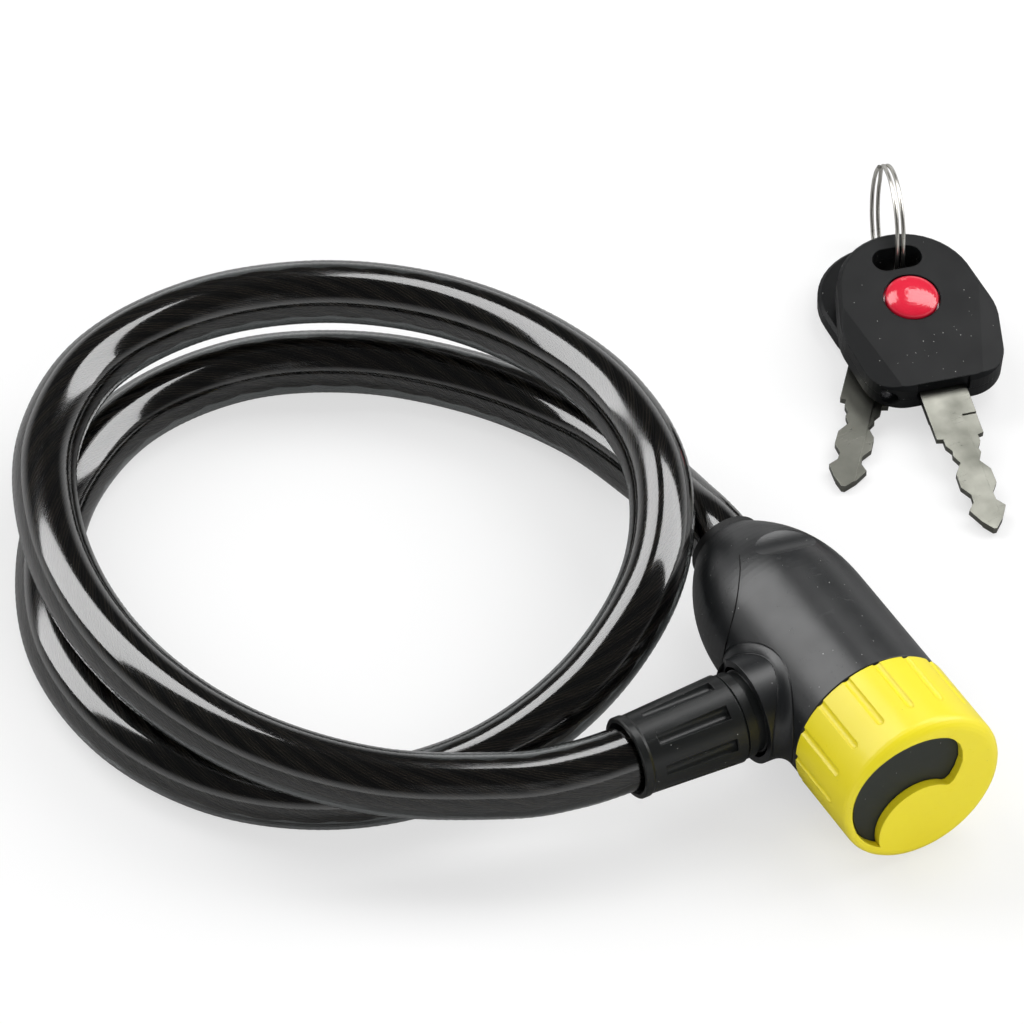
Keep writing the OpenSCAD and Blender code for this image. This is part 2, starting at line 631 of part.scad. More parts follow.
// Split ring: two flat turns side by side, joined by a short crossover
turn_pitch = wire_d + 0.5;
ring_steps = 24;
function crossover(a) = a < 330 ? -0.5 : a > 390 ? 0.5 : (a - 360) / 60;
ring_line = [for (i = [0:2 * ring_steps - 2]) let (a = i * 360 / ring_steps)
  [ring_d / 2 * cos(a + 40), turn_pitch * crossover(a), ring_d / 2 * sin(a + 40)]];
function wire_hoop(i) = let (t = tangent(ring_line, i), side = unit(cross(t, [0, 1, 0])), up = cross(side, t))
  [for (k = [0:5]) ring_line[i] + wire_d / 2 * (cos(60 * k) * side + sin(60 * k) * up)];
module split_ring() {
  n = len(ring_line);
  e = (n - 1) * 6;
  color([0.78, 0.78, 0.76]) translate(ring_at) rotate([ring_lean, 0, ring_turn])
    polyhedron(points = [for (i = [0:n - 1]) each wire_hoop(i)],
      faces = concat(skin(n, 6, 0, false), [for (k = [1:4]) each [[0, k + 1, k], [e, e + k, e + k + 1]]]));
}
echo(ring_least_gap_to_itself = turn_pitch - wire_d);

head_housing();
nose_grommet();
lock_body();
cylinder_sleeve();
key_cylinder();
wafers();
wafer_springs();
cylinder_clip();
cam();
locking_bolt();
face_plate();
cap_snap_ring();
detent_ball();
detent_spring();
dust_cap();
head_ferrule();
ferrule_screw();
cable_jacket();
cable_rope();
plug_pin();
plug_ferrule();
plug_cross_pin();
plug_rings();
grip_sleeve();
cable_jacket_end();
cable_rope_end();
light_key_cover();
light_key_base();
light_key_blade();
light_button();
light_circuit();
button_cell();
cell_contact();
key_lamp();
key_screw();
spare_key_head();
spare_key_blade();
split_ring();
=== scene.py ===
"""Cable lock with its two keys: cable, finishes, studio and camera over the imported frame.
Lengths are in metres, or in millimetres where a name ends in _MM or _mm."""
import math

import bpy
from mathutils import Matrix, Vector


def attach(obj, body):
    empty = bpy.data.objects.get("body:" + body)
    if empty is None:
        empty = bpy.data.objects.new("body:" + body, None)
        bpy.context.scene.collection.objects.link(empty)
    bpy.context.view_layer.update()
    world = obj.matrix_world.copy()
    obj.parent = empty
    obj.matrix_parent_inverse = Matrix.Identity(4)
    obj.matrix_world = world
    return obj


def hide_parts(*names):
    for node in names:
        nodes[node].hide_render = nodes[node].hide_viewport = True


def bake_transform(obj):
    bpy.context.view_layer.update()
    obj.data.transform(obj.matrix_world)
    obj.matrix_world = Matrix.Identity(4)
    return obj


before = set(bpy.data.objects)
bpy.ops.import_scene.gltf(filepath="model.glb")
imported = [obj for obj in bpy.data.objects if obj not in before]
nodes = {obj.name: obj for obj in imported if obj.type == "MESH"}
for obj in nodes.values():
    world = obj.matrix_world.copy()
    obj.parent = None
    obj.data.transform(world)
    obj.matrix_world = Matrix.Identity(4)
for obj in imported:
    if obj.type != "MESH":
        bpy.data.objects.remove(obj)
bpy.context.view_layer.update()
scene = bpy.context.scene
MM = 0.001


def mm(point):
    """A point given in millimetres, in metres."""
    return Vector(point) * MM


def aim(thing, target):
    """Turns a lamp or the camera to look at a point."""
    thing.rotation_euler = (Vector(target) - thing.location).to_track_quat("-Z", "Y").to_euler()


# ---- camera ----
EYE_MM = (-475.7, -941.9, 1042.0)
LOOK_MM = (42.4, 4.6, 0.0)
LENS_MM, SENSOR_MM = 224.65, 36
CLIP_NEAR, CLIP_FAR = 0.1, 20
camera = bpy.data.objects.new("camera", bpy.data.cameras.new("camera"))
scene.collection.objects.link(camera)
camera.location = mm(EYE_MM)
aim(camera, mm(LOOK_MM))
camera.data.sensor_width = SENSOR_MM
camera.data.lens = LENS_MM
camera.data.clip_start, camera.data.clip_end = CLIP_NEAR, CLIP_FAR
scene.camera = camera
scene.view_settings.view_transform = "Standard"

# ---- cable route, as in the part's source: from the plug to the ferrule inside the head ----
ROUTE_MM = [
    (33.8, -94.5, 19.8), (26, -94.5, 19.8), (17, -94.5, 19.8), (4, -93.5, 20), (-10.5, -89.5, 20.5),
    (-35.5, -76, 22), (-55, -54.5, 23.4), (-66, -28, 23.8), (-69, 0.5, 23.8), (-64.5, 29, 23.8),
    (-52.5, 55, 23.9), (-31, 73.5, 24.3), (-3, 78, 25), (24.5, 69.5, 26), (46.5, 51, 27.4),
    (60.5, 26, 29.2), (66, -2, 31), (61.5, -30.5, 31.6), (46, -54.5, 27), (21.5, -68.5, 18.5),
    (-7, -72.5, 11.5), (-35, -66, 8.2), (-58.5, -49.5, 7.7), (-72, -24.5, 7.7), (-74, 4.5, 7.7),
    (-65, 31.5, 7.7), (-48, 54.5, 7.7), (-23.5, 69.5, 7.7), (5, 71.5, 7.7), (31, 60.5, 7.7),
    (52, 40.5, 7.7), (65.5, 15, 9.2), (70, -13, 13.4), (70, -30, 17.6), (70, -42, 19.8), (70, -57, 19.8),
    (70, -72.3, 19.8)]
JOIN, NOSE = 8, 35  # the points where the plug's stretch ends and where the jacket ends in the nose
STEPS = 14
JACKET_R = 0.0075
ROPE_R = 0.0039
STRANDS = 7
STRAND_GROOVE = 0.0009
LAY = 0.068


def catmull(a, b, c, d, t):
    """The point at share t of the smooth span from b to c."""
    return 0.5 * (2 * b + (c - a) * t + (2 * a - 5 * b + 4 * c - d) * t * t
                  + (3 * b - a - 3 * c + d) * t ** 3)


def flow(points, steps):
    """The smooth line through the points, with steps to each span."""
    p = [Vector(x) for x in points]
    p = [2 * p[0] - p[1]] + p + [2 * p[-1] - p[-2]]
    line = [catmull(*p[i:i + 4], k / steps) for i in range(len(p) - 3) for k in range(steps)]
    return line + [p[-2]]


def run(line):
    """The length of a line of points."""
    return sum((b - a).length for a, b in zip(line, line[1:]))


cable_line = flow([mm(p) for p in ROUTE_MM], STEPS)
end_line = cable_line[:JOIN * STEPS + 1]
main_line = cable_line[JOIN * STEPS:NOSE * STEPS + 1]
JOIN_AT = run(end_line)
NOSE_AT = JOIN_AT + run(main_line)

# ---- wiring helpers ----


def put(tree, socket, value):
    """Links a socket, or sets it where the value is a plain one."""
    if isinstance(value, bpy.types.NodeSocket):
        tree.links.new(value, socket)
    elif value is not None:
        socket.default_value = value


def add(tree, kind, inputs=None, **settings):
    """A node with its settings and inputs; inputs are named, or numbered where names repeat."""
    node = tree.nodes.new(kind)
    for key, value in settings.items():
        setattr(node, key, value)
    for key, value in (inputs or {}).items():
        put(tree, node.inputs[key], value)
    return node


def calc(tree, operation, *values, clamp=False):
    """The result of a sum on sockets or numbers."""
    node = add(tree, "ShaderNodeMath", dict(enumerate(values)), operation=operation)
    node.use_clamp = clamp
    return node.outputs[0]


def group_of(name, kind, inputs, outputs):
    """An empty group with named sockets, and its input and output nodes."""
    tree = bpy.data.node_groups.new(name, kind)
    for label, socket, value in inputs:
        made = tree.interface.new_socket(label, in_out="INPUT", socket_type="NodeSocket" + socket)
        if value is not None:
            made.default_value = value
    for label, socket in outputs:
        tree.interface.new_socket(label, in_out="OUTPUT", socket_type="NodeSocket" + socket)
    return tree, tree.nodes.new("NodeGroupInput").outputs, tree.nodes.new("NodeGroupOutput").inputs


# ---- swept lines: rope, jacket and ring wire ----


def sweep_nodes():
    """Sweeps a lobed or round section along a line, twisting once in each lay length."""
    tree, given, result = group_of("swept_line", "GeometryNodeTree", [
        ("Geometry", "Geometry", None), ("Radius", "Float", JACKET_R), ("Sides", "Int", 40),
        ("Strands", "Float", 0.0), ("Groove", "Float", 0.0), ("Lay", "Float", 0.07),
        ("Step", "Float", 0.002), ("From", "Float", -1.0), ("To", "Float", 9.0),
        ("Caps", "Bool", False), ("Finish", "Material", None)], [("Geometry", "Geometry")])
    line = add(tree, "GeometryNodeResampleCurve", {"Curve": given["Geometry"],
                                                   "Length": given["Step"]}, mode="LENGTH")
    reach = tree.nodes.new("GeometryNodeSplineParameter").outputs["Length"]
    turn = calc(tree, "MULTIPLY", calc(tree, "DIVIDE", reach, given["Lay"]), math.tau)
    twisted = add(tree, "GeometryNodeSetCurveTilt", {"Curve": line.outputs[0], "Tilt": turn})
    traced = add(tree, "GeometryNodeStoreNamedAttribute", {
        "Geometry": twisted.outputs[0], "Name": "middle",
        "Value": tree.nodes.new("GeometryNodeInputPosition").outputs[0]}, data_type="FLOAT_VECTOR")
    marked = add(tree, "GeometryNodeStoreNamedAttribute", {
        "Geometry": traced.outputs[0], "Name": "along", "Value": reach}, data_type="FLOAT")
    circle = add(tree, "GeometryNodeCurvePrimitiveCircle", {"Resolution": given["Sides"], "Radius": 1.0})
    share = tree.nodes.new("GeometryNodeSplineParameter").outputs["Factor"]
    lobe = calc(tree, "ABSOLUTE", calc(tree, "COSINE", calc(
        tree, "MULTIPLY", calc(tree, "MULTIPLY", share, math.pi), given["Strands"])))
    reach_out = calc(tree, "SUBTRACT", given["Radius"], calc(
        tree, "MULTIPLY", given["Groove"], calc(tree, "SUBTRACT", 1.0, lobe)))
    spot = tree.nodes.new("GeometryNodeInputPosition").outputs[0]
    around = add(tree, "GeometryNodeStoreNamedAttribute", {
        "Geometry": circle.outputs[0], "Name": "around", "Value": spot}, data_type="FLOAT_VECTOR")
    out = add(tree, "ShaderNodeVectorMath", {0: spot, "Scale": reach_out}, operation="SCALE")
    section = add(tree, "GeometryNodeSetPosition", {"Geometry": around.outputs[0],
                                                    "Position": out.outputs[0]})
    skin = add(tree, "GeometryNodeCurveToMesh", {
        "Curve": marked.outputs[0], "Profile Curve": section.outputs[0], "Fill Caps": given["Caps"]})
    here = add(tree, "GeometryNodeInputNamedAttribute", {"Name": "along"}, data_type="FLOAT")
    outside = calc(tree, "MAXIMUM", calc(tree, "LESS_THAN", here.outputs[0], given["From"]),
                   calc(tree, "GREATER_THAN", here.outputs[0], given["To"]))
    kept = add(tree, "GeometryNodeDeleteGeometry", {"Geometry": skin.outputs[0],
                                                    "Selection": outside}, domain="FACE")
    smooth = add(tree, "GeometryNodeSetShadeSmooth", {"Geometry": kept.outputs[0]})
    real = add(tree, "GeometryNodeRealizeInstances", {"Geometry": smooth.outputs[0]})
    dressed = add(tree, "GeometryNodeSetMaterial", {"Geometry": real.outputs[0],
                                                    "Material": given["Finish"]})
    put(tree, result["Geometry"], dressed.outputs[0])
    return tree


sweep = sweep_nodes()


def swept(name, line, material, **sizes):
    """A plain mesh swept along the line; sizes are the inputs of the swept_line nodes."""
    curve = bpy.data.curves.new(name + "_line", "CURVE")
    curve.dimensions = "3D"
    spline = curve.splines.new("POLY")
    spline.points.add(len(line) - 1)
    for point, place in zip(spline.points, line):
        point.co = (*place, 1)
    guide = bpy.data.objects.new(name + "_line", curve)
    scene.collection.objects.link(guide)
    modifier = guide.modifiers.new("sweep", "NODES")
    modifier.node_group = sweep
    socket = {s.name: s.identifier for s in sweep.interface.items_tree if s.in_out == "INPUT"}
    for label, value in {**sizes, "Finish": material}.items():
        modifier[socket[label]] = value
    bpy.context.view_layer.update()
    done = guide.evaluated_get(bpy.context.evaluated_depsgraph_get())
    mesh = bpy.data.meshes.new_from_object(done)
    mesh.name = name
    bpy.data.objects.remove(guide)
    piece = bpy.data.objects.new(name, mesh)
    scene.collection.objects.link(piece)
    return piece


# ---- finishes: the wear's counts and sizes per millimetre, then what it does to a surface ----
MOTTLE_PER_MM = 0.12
SPECKS_PER_MM = 0.9
SPECK_LEAST, SPECK_SPREAD = 0.05, 0.07
HAIR_TURN, HAIR_SCALE = (0.4, 0.9, 0.5), (0.03, 0.8, 0.8)
HAIR_WIDTH = 0.1
PATCHES_PER_MM, PATCH_FROM = 0.16, 0.56
SPECK_COVER = 0.8
MOTTLE_ROUGH, SCRATCH_ROUGH = 0.16, -0.12
SCRATCH_HEIGHT = -0.6
DEEP_SHARE = 0.75


def wear_group():
    """Grain height, mottle, dust specks and hair scratches, per millimetre of the surface."""
    tree, given, result = group_of("surface_wear", "ShaderNodeTree", [
        ("Vector", "Vector", None), ("Grain per mm", "Float", 4.0), ("Speck share", "Float", 0.02),
        ("Scratch share", "Float", 0.02)],
        [("Grain", "Float"), ("Mottle", "Float"), ("Specks", "Float"), ("Scratches", "Float")])
    in_mm = add(tree, "ShaderNodeVectorMath", {0: given["Vector"], "Scale": 1000.0}, operation="SCALE")
    place = in_mm.outputs[0]
    grain = add(tree, "ShaderNodeTexNoise", {"Vector": place, "Scale": given["Grain per mm"],
                                             "Detail": 3.0, "Roughness": 0.6})
    put(tree, result["Grain"], grain.outputs[0])
    mottle = add(tree, "ShaderNodeTexNoise", {"Vector": place, "Scale": MOTTLE_PER_MM,
                                              "Detail": 4.0})
    put(tree, result["Mottle"], mottle.outputs[0])
    cell = add(tree, "ShaderNodeTexVoronoi", {"Vector": place, "Scale": SPECKS_PER_MM})
    chance = add(tree, "ShaderNodeSeparateColor", {0: cell.outputs["Color"]})
    chosen = calc(tree, "LESS_THAN", chance.outputs[0], given["Speck share"])
    size = calc(tree, "MULTIPLY_ADD", chance.outputs[1], SPECK_SPREAD, SPECK_LEAST)
    dot = calc(tree, "LESS_THAN", cell.outputs["Distance"], size)
    put(tree, result["Specks"], calc(tree, "MULTIPLY", chosen, dot))
    bent = add(tree, "ShaderNodeMapping", {"Vector": place, "Rotation": HAIR_TURN,
                                           "Scale": HAIR_SCALE})
    hair = add(tree, "ShaderNodeTexNoise", {"Vector": bent.outputs[0], "Scale": 1.0, "Detail": 2.0,
                                            "Distortion": 0.6})
    off = calc(tree, "ABSOLUTE", calc(tree, "SUBTRACT", hair.outputs[0], 0.5))
    thin = calc(tree, "LESS_THAN", off, calc(tree, "MULTIPLY", given["Scratch share"], HAIR_WIDTH))
    patch = add(tree, "ShaderNodeTexNoise", {"Vector": place, "Scale": PATCHES_PER_MM})
    put(tree, result["Scratches"], calc(tree, "MULTIPLY", thin, calc(
        tree, "GREATER_THAN", patch.outputs[0], PATCH_FROM)))
    return tree


wear = wear_group()


def tint(tree, share, first, second):
    """A colour between two, by a share; 6, 7 and 2 are the node's colour sockets."""
    mix = add(tree, "ShaderNodeMix", {"Factor": share, 6: first, 7: second}, data_type="RGBA")
    return mix.outputs[2]


def finish(name, colour, rough, deep=None, grain=4.0, bump=0.02, specks=0.02, scratches=0.02,
           speck_colour=(0.5, 0.5, 0.48), soft_edge=0.0, **shader):
    """A material with wear; deep is the colour that the mottle leans to, bump and soft_edge are
    in millimetres, and shader holds further inputs of the surface."""
    material = bpy.data.materials.new(name)
    material.use_nodes = True
    tree = material.node_tree
    surface = tree.nodes["Principled BSDF"]
    coords = tree.nodes.new("ShaderNodeTexCoord").outputs["Object"]
    marks = add(tree, "ShaderNodeGroup", node_tree=wear)
    for label, value in (("Vector", coords), ("Grain per mm", grain), ("Speck share", specks),
                         ("Scratch share", scratches)):
        put(tree, marks.inputs[label], value)
    base = tint(tree, marks.outputs["Mottle"], (*colour, 1),
                (*(deep or [c * DEEP_SHARE for c in colour]), 1))
    marked = tint(tree, calc(tree, "MULTIPLY", marks.outputs["Specks"], SPECK_COVER), base,
                  (*speck_colour, 1))
    put(tree, surface.inputs["Base Color"], marked)
    worn = calc(tree, "MULTIPLY_ADD", marks.outputs["Mottle"], MOTTLE_ROUGH,
                rough - MOTTLE_ROUGH / 2)
    put(tree, surface.inputs["Roughness"],
        calc(tree, "MULTIPLY_ADD", marks.outputs["Scratches"], SCRATCH_ROUGH, worn, clamp=True))
    height = add(tree, "ShaderNodeBump", {"Height": calc(
        tree, "MULTIPLY_ADD", marks.outputs["Scratches"], SCRATCH_HEIGHT, marks.outputs["Grain"]),
        "Distance": bump * MM, "Strength": 1.0})
    if soft_edge:
        rounded = add(tree, "ShaderNodeBevel", {"Radius": soft_edge * MM}, samples=4)
        put(tree, height.inputs["Normal"], rounded.outputs[0])
    put(tree, surface.inputs["Normal"], height.outputs[0])
    for label, value in shader.items():
        surface.inputs[label.replace("_", " ")].default_value = value
    return material


housing_black = finish("housing_black", (0.007, 0.008, 0.009), 0.35, bump=0.008, specks=0.16,
                       scratches=0.02, soft_edge=0.3, Specular_IOR_Level=0.7)
grip_black = finish("grip_black", (0.009, 0.010, 0.010), 0.34, bump=0.010, specks=0.14, soft_edge=0.25)
rubber_black = finish("rubber_black", (0.010, 0.010, 0.010), 0.6, bump=0.02)
seam_black = finish("seam_black", (0.002, 0.002, 0.002), 0.8, specks=0.0)
cap_yellow = finish("cap_yellow", (0.86, 0.74, 0.02), 0.38, deep=(0.84, 0.70, 0.014), bump=0.006,
                    specks=0.03, speck_colour=(0.35, 0.3, 0.05), soft_edge=0.35, Coat_Weight=0.15,
                    Coat_Roughness=0.25)
plate_grey = finish("plate_grey", (0.026, 0.030, 0.027), 0.55, bump=0.02, specks=0.06)
key_black = finish("key_black", (0.0055, 0.006, 0.0065), 0.40, grain=5.0, bump=0.012, specks=0.16,
                   scratches=0.0, soft_edge=0.4, Specular_IOR_Level=0.18)
button_red = finish("button_red", (0.76, 0.03, 0.06), 0.16, deep=(0.6, 0.006, 0.03), bump=0.001,
                    specks=0.0, scratches=0.01, Coat_Weight=0.6, Coat_Roughness=0.05)
nickel = finish("nickel", (0.30, 0.30, 0.265), 0.36, deep=(0.08, 0.082, 0.068), bump=0.010,
                specks=0.10, scratches=0.03, speck_colour=(0.2, 0.17, 0.12), soft_edge=0.15,
                Metallic=1.0)
ring_bright = finish("ring_bright", (0.86, 0.84, 0.78), 0.3, bump=0.002, scratches=0.05, Metallic=1.0)
zinc = finish("zinc", (0.5, 0.5, 0.52), 0.4, bump=0.02, Metallic=1.0)
brass = finish("brass", (0.72, 0.53, 0.24), 0.28, bump=0.004, Metallic=1.0)
bright_steel = finish("bright_steel", (0.62, 0.62, 0.64), 0.25, bump=0.004, Metallic=1.0)
dark_steel = finish("dark_steel", (0.2, 0.2, 0.21), 0.35, bump=0.004, Metallic=1.0)
board_green = finish("board_green", (0.03, 0.16, 0.07), 0.4, bump=0.01)
lens_clear = finish("lens_clear", (0.05, 0.05, 0.055), 0.25, bump=0.001, specks=0.0,
                    Transmission_Weight=0.4, IOR=1.5)
smoky_vinyl = finish("smoky_vinyl", (0.075, 0.08, 0.08), 0.07, deep=(0.055, 0.06, 0.06), bump=0.0015,
                     grain=0.6, specks=0.05, scratches=0.04, Transmission_Weight=1.0, IOR=1.54,
                     Coat_Weight=1.0, Coat_Roughness=0.12, Coat_IOR=1.6)
WIRES = 42.0
WIRE_LEAN = 260.0
WIRE_HEIGHT_MM = 0.12
# Share of the colour given to a painted highlight along each wire
WIRE_PAINTED_SHINE = 0.3
FLECKS_AROUND, FLECKS_ALONG = 9.0, 160.0
# Power with which painted shade darkens the strands towards the grooves between them
STRAND_PAINTED_SHADE = 1.5


def rope_finish():
    """Dark oiled wires laid along the strands; the colour holds painted shade towards the grooves
    between strands and a painted highlight along each wire.
    """
    material = bpy.data.materials.new("rope_wires")
    material.use_nodes = True
    tree = material.node_tree
    surface = tree.nodes["Principled BSDF"]
    side = add(tree, "ShaderNodeAttribute", attribute_name="around").outputs["Vector"]
    along = add(tree, "ShaderNodeAttribute", attribute_name="along").outputs["Fac"]
    parts = add(tree, "ShaderNodeSeparateXYZ", {0: side}).outputs
    angle = calc(tree, "ARCTAN2", parts[1], parts[0])
    lean = calc(tree, "MULTIPLY", along, WIRE_LEAN)
    wire = calc(tree, "SINE", calc(tree, "MULTIPLY_ADD", angle, WIRES, lean))
    lobe = calc(tree, "ABSOLUTE", calc(tree, "COSINE", calc(tree, "MULTIPLY", angle, STRANDS / 2)))
    unrolled = add(tree, "ShaderNodeCombineXYZ", {0: calc(tree, "MULTIPLY", angle, FLECKS_AROUND),
                                                  1: calc(tree, "MULTIPLY", along, FLECKS_ALONG)})
    flecks = add(tree, "ShaderNodeTexNoise", {"Vector": unrolled.outputs[0], "Scale": 1.0,
                                              "Detail": 3.0})
    # Painted light: bright on the strands' crests and along each wire, painted shade in the grooves
    # between strands, with random flecks of tone
    painted_light = calc(tree, "MULTIPLY", calc(tree, "POWER", lobe, STRAND_PAINTED_SHADE), calc(
        tree, "MULTIPLY_ADD", wire, WIRE_PAINTED_SHINE, flecks.outputs[0]), clamp=True)
    # The first colour is the painted shade of the grooves, the second the painted lit colour of the
    # wires
    put(tree, surface.inputs["Base Color"], tint(tree, painted_light, (0.003, 0.0025, 0.0025, 1),
                                                 (0.24, 0.18, 0.13, 1)))
    put(tree, surface.inputs["Roughness"], calc(tree, "MULTIPLY_ADD", flecks.outputs[0], 0.2, 0.3))
    surface.inputs["Metallic"].default_value = 0.6
    bump = add(tree, "ShaderNodeBump", {"Height": wire, "Distance": WIRE_HEIGHT_MM * MM})
    put(tree, surface.inputs["Normal"], bump.outputs[0])
    return material


rope_wires = rope_finish()

# ---- cable ----
jacket_shape = dict(Radius=JACKET_R, Sides=40, Step=0.002)
rope_shape = dict(Radius=ROPE_R, Sides=STRANDS * 8, Strands=float(STRANDS), Groove=STRAND_GROOVE,
                  Lay=LAY, Step=0.002)
main_jacket = swept("jacket_coil", cable_line, smoky_vinyl, From=JOIN_AT, To=NOSE_AT, **jacket_shape)
end_jacket = swept("jacket_plug_end", cable_line, smoky_vinyl, From=0.0, To=JOIN_AT, **jacket_shape)
# Round normals from the cable's middle line, so that highlights run on smoothly over the join
for piece in (main_jacket, end_jacket):
    middle = piece.data.attributes["middle"].data
    piece.data.normals_split_custom_set_from_vertices(
        [(v.co - m.vector).normalized() for v, m in zip(piece.data.vertices, middle)])
main_rope = swept("rope_coil", cable_line, rope_wires, From=JOIN_AT, To=NOSE_AT, **rope_shape)
end_rope = swept("rope_plug_end", cable_line, rope_wires, From=0.0, To=JOIN_AT, **rope_shape)
for piece in (main_jacket, main_rope):
    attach(piece, "lock_head")
for piece in (end_jacket, end_rope):
    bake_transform(piece)
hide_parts("cable_jacket")
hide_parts("cable_rope")
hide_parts("cable_jacket_end")
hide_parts("cable_rope_end")

# ---- split ring: two flat turns side by side with a short crossover ----
RING_AT = mm((162.6, 34.5, 15.4))
RING_R = 0.0146
WIRE_R = 0.0005
TURN_PITCH = 0.0015
RING_TURN = math.radians(70)
RING_LEAN = math.radians(3)
FIRST_DEG, TURNS_DEG, STEP_DEG = 40, 720, 4
CROSSOVER_DEG = 60


def ring_line():
    """The wire's middle line: two turns, with the step between them halfway."""
    line = []
    for gone in range(0, TURNS_DEG + 1, STEP_DEG):
        shift = max(-0.5, min(0.5, (gone - TURNS_DEG / 2) / CROSSOVER_DEG))
        angle = math.radians(FIRST_DEG + gone)
        x, y, z = RING_R * math.cos(angle), TURN_PITCH * shift, RING_R * math.sin(angle)
        y, z = (y * math.cos(RING_LEAN) - z * math.sin(RING_LEAN),
                y * math.sin(RING_LEAN) + z * math.cos(RING_LEAN))
        x, y = (x * math.cos(RING_TURN) - y * math.sin(RING_TURN),
                x * math.sin(RING_TURN) + y * math.cos(RING_TURN))
        line.append(RING_AT + Vector((x, y, z)))
    return line


ring = swept("key_ring", ring_line(), ring_bright, Radius=WIRE_R, Sides=14, Step=0.0008, Caps=True)
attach(ring, "ring")
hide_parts("split_ring")

# ---- the housing: fillet round the socket collar, seam line and fuller taper ----
HEAD_MM = Vector((70.0, -112.0, 19.8))
SEAM_STEPS = 8
COLLAR_Y_MM = -94.5
COLLAR_R_MM, BODY_R_MM, FILLET_R_MM = 12.3, 19.4, 3.5
INSIDE_MM = 0.6
# The source's taper starts at FROM and falls by FALL over LEN, with the square of the way gone
TAPER_FROM_MM, TAPER_LEN_MM, TAPER_FALL_MM = -79.0, 33.0, 9.9
# Here it falls with POWER instead of the square, over SHARE of the length; what lies past
# OUTER of the radius counts as the wall's outer side
TAPER_POWER, TAPER_SHARE, TAPER_OUTER = 2.4, 0.9, 0.8


def collar_fillet(turns=72, bends=7):
    """The surface of a ball rolled round the corner, closed by one line inside the walls."""
    far, near = BODY_R_MM + FILLET_R_MM, COLLAR_R_MM + FILLET_R_MM
    rings = []
    for i in range(turns):
        angle = math.tau * i / turns
        y, z = near * math.cos(angle), near * math.sin(angle)
        middle = Vector((-math.sqrt(far ** 2 - z ** 2), y, z))
        to_collar = Vector((0, -math.cos(angle), -math.sin(angle)))
        to_body = Vector((-middle.x, 0, -z)).normalized()
        bend = [middle + FILLET_R_MM * to_collar.slerp(to_body, k / bends) for k in range(bends + 1)]
        inner = COLLAR_R_MM - INSIDE_MM
        inner_y, inner_z = inner * math.cos(angle), inner * math.sin(angle)
        inner_x = -math.sqrt((BODY_R_MM - INSIDE_MM) ** 2 - inner_z ** 2)
        rings.append(bend + [Vector((inner_x, inner_y, inner_z))])
    count = bends + 2
    corner = Vector((HEAD_MM.x, COLLAR_Y_MM, HEAD_MM.z))
    points = [mm(corner + p) for ring in rings for p in ring]
    faces = [(i * count + k, (i + 1) % turns * count + k, (i + 1) % turns * count + (k + 1) % count,
              i * count + (k + 1) % count) for i in range(turns) for k in range(count)]
    mesh = bpy.data.meshes.new("collar_fillet")
    mesh.from_pydata(points, [], faces)
    mesh.materials.append(housing_black)
    for face in mesh.polygons:
        face.use_smooth = face.index % count < bends
    piece = bpy.data.objects.new("collar_fillet", mesh)
    scene.collection.objects.link(piece)
    return piece


def fuller(place):
    """A place on the source's taper, moved to the shorter and rounder one."""
    gone = (place.y / MM - TAPER_FROM_MM) / TAPER_LEN_MM
    if gone <= 0:
        return place
    axis = Vector((HEAD_MM.x, 0, HEAD_MM.z)) * MM
    off = Vector((place.x, 0, place.z)) - axis
    source_r = BODY_R_MM - TAPER_FALL_MM * min(gone, 1) ** 2
    if off.length > TAPER_OUTER * source_r * MM and gone <= 1:
        off *= (BODY_R_MM - TAPER_FALL_MM * gone ** TAPER_POWER) / source_r
    y = (TAPER_FROM_MM + gone * TAPER_LEN_MM * TAPER_SHARE) * MM
    return axis + off + Vector((0, y, 0))


def seam_points():
    """The seam over the head's flank, from the top down and back in mirror below."""
    flank_mm = [(-7.1, 15.7, 48.6), (-9.4, 15.7, 43.9), (-12.6, 14.3, 39.0), (-15.5, 11.6, 35.5),
                (-18.0, 7.3, 33.5), (-19.1, 3.3, 32.9)]
    whole = flank_mm + [(x, -up, back) for x, up, back in reversed(flank_mm)]
    route = [mm(HEAD_MM + Vector((x, back, up))) for x, up, back in whole]
    return [fuller(point) for point in flow(route, SEAM_STEPS)]


for name, material, slot in (("head_housing", housing_black, "black_plastic"),
                             ("nose_grommet", rubber_black, "black_rubber")):
    piece = bpy.data.objects.new("full_" + name, nodes[name].data.copy())
    scene.collection.objects.link(piece)
    for vertex in piece.data.vertices:
        vertex.co = fuller(vertex.co)
    piece.data.materials.clear()
    piece.data.materials.append(material)
    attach(piece, "lock_head")
    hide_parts(name)
fillet = collar_fillet()
seam = swept("housing_seam", seam_points(), seam_black, Radius=0.00016, Sides=8, Step=0.001, Caps=True)
for piece in (fillet, seam):
    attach(piece, "lock_head")

# ---- finishes of the frame's own parts ----
DRESS = {
    grip_black: ["plug_rings", "grip_sleeve"],
    cap_yellow: ["dust_cap"],
    plate_grey: ["face_plate"],
    key_black: ["light_key_cover", "light_key_base", "spare_key_head"],
    button_red: ["light_button"],
    nickel: ["light_key_blade", "spare_key_blade"],
    zinc: ["lock_body", "cam", "head_ferrule", "plug_ferrule"],
    brass: ["cylinder_sleeve", "key_cylinder", "cell_contact"],
    bright_steel: ["wafers", "wafer_springs", "cylinder_clip", "locking_bolt", "cap_snap_ring",
                   "detent_ball", "detent_spring", "plug_pin", "button_cell"],
    dark_steel: ["ferrule_screw", "plug_cross_pin", "key_screw"],
    board_green: ["light_circuit"],
    lens_clear: ["key_lamp"],
}
for material, names in DRESS.items():
    for name in names:
        mesh = nodes[name].data
        mesh.materials.clear()
        mesh.materials.append(material)

# ---- studio ----
CEILING_FROM, CEILING_TO, CEILING_GLOSS = 0.05, 0.4, 0.05
PLAIN_LIGHT = 0.2
FLOOR_HALF = 6
FLOOR_WHITE, FLOOR_IN_GLOSS, FLOOR_GLOW = 0.86, 0.3, 0.6


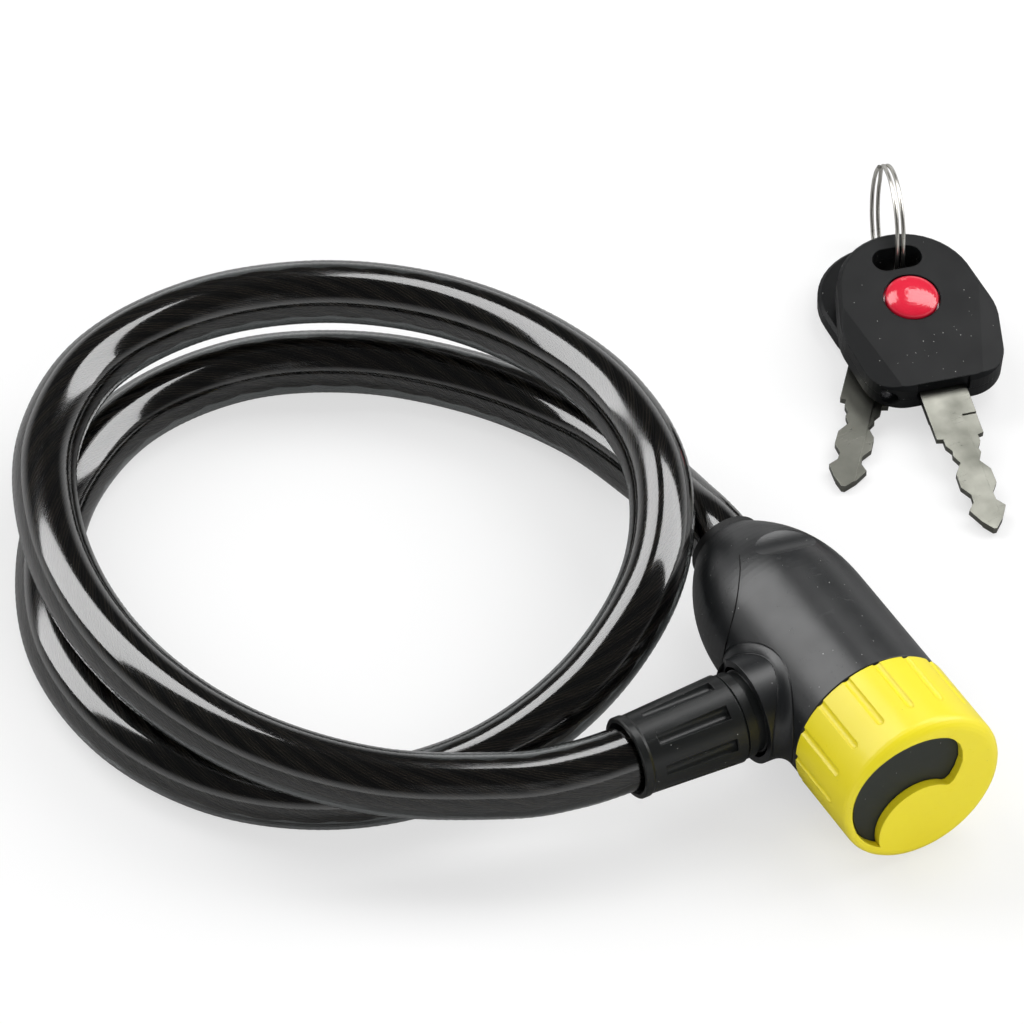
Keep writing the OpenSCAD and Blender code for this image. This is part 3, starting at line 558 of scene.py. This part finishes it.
def world_light():
    """A white surround for the eye and for gloss near the horizon, a plain light for the rest."""
    world = bpy.data.worlds.new("studio")
    scene.world = world
    world.use_nodes = True
    tree = world.node_tree
    background = tree.nodes["Background"]
    ray = tree.nodes.new("ShaderNodeLightPath").outputs
    up = add(tree, "ShaderNodeSeparateXYZ", {
        0: tree.nodes.new("ShaderNodeTexCoord").outputs["Generated"]}).outputs[2]
    ceiling = add(tree, "ShaderNodeMapRange", {0: up, 1: CEILING_FROM, 2: CEILING_TO, 3: 1.0,
                                                 4: CEILING_GLOSS}).outputs[0]
    seen = calc(tree, "MAXIMUM", ray["Is Camera Ray"], ray["Is Transmission Ray"])
    gloss = calc(tree, "MULTIPLY", ray["Is Glossy Ray"], ceiling)
    plain = calc(tree, "MULTIPLY", calc(tree, "SUBTRACT", 1.0, calc(
        tree, "MAXIMUM", seen, ray["Is Glossy Ray"])), PLAIN_LIGHT)
    strength = calc(tree, "ADD", calc(tree, "MAXIMUM", seen, gloss), plain)
    put(tree, background.inputs["Strength"], strength)
    background.inputs["Color"].default_value = (1, 1, 1, 1)


world_light()


def floor_finish():
    """Pale floor that keeps the shadows, darker in gloss and part white to the eye."""
    material = bpy.data.materials.new("pale_floor")
    material.use_nodes = True
    tree = material.node_tree
    surface = tree.nodes["Principled BSDF"]
    surface.inputs["Roughness"].default_value = 0.9
    surface.inputs["Specular IOR Level"].default_value = 0.0
    ray = tree.nodes.new("ShaderNodeLightPath").outputs
    put(tree, surface.inputs["Base Color"], tint(tree, ray["Is Glossy Ray"],
                                                 (FLOOR_WHITE, FLOOR_WHITE, FLOOR_WHITE, 1),
                                                 (FLOOR_IN_GLOSS, FLOOR_IN_GLOSS, FLOOR_IN_GLOSS, 1)))
    seen = calc(tree, "MAXIMUM", ray["Is Camera Ray"], ray["Is Transmission Ray"])
    glow = add(tree, "ShaderNodeEmission", {"Color": (1, 1, 1, 1), "Strength": 1.0})
    mix = add(tree, "ShaderNodeMixShader", {0: calc(tree, "MULTIPLY", seen, FLOOR_GLOW),
                                            1: surface.outputs[0], 2: glow.outputs[0]})
    put(tree, tree.nodes["Material Output"].inputs["Surface"], mix.outputs[0])
    return material


floor_mesh = bpy.data.meshes.new("floor")
floor_mesh.from_pydata([(-FLOOR_HALF, -FLOOR_HALF, 0), (FLOOR_HALF, -FLOOR_HALF, 0),
                        (FLOOR_HALF, FLOOR_HALF, 0), (-FLOOR_HALF, FLOOR_HALF, 0)], [], [(0, 1, 2, 3)])
floor_mesh.materials.append(floor_finish())
floor = bpy.data.objects.new("floor", floor_mesh)
scene.collection.objects.link(floor)

# Softboxes: place, width, height and radiance; their widths lie across the view. The front one
# isn't seen in gloss
FACING = (0.04, -0.02, 0.01)
ACROSS = Vector((0.877, -0.480, 0.0))
SOFTBOXES = {
    "back_left": ((-0.35, 0.645, 0.79), 1.12, 0.52, 4.6),
    "back_right": ((0.795, 0.02, 0.805), 1.30, 0.52, 4.6),
    "front": ((-0.15, -1.5, 0.9), 1.2, 0.8, 4.5),
}
for name, (place, wide, high, radiance) in SOFTBOXES.items():
    lamp = bpy.data.lights.new(name, "AREA")
    lamp.shape = "RECTANGLE"
    lamp.size, lamp.size_y = wide, high
    lamp.energy = radiance * math.pi * wide * high
    box = bpy.data.objects.new(name, lamp)
    scene.collection.objects.link(box)
    box.location = place
    box.visible_glossy = name != "front"
    away = (Vector(place) - Vector(FACING)).normalized()
    side = (ACROSS - ACROSS.dot(away) * away).normalized()
    box.rotation_euler = Matrix((side, away.cross(side), away)).transposed().to_euler()
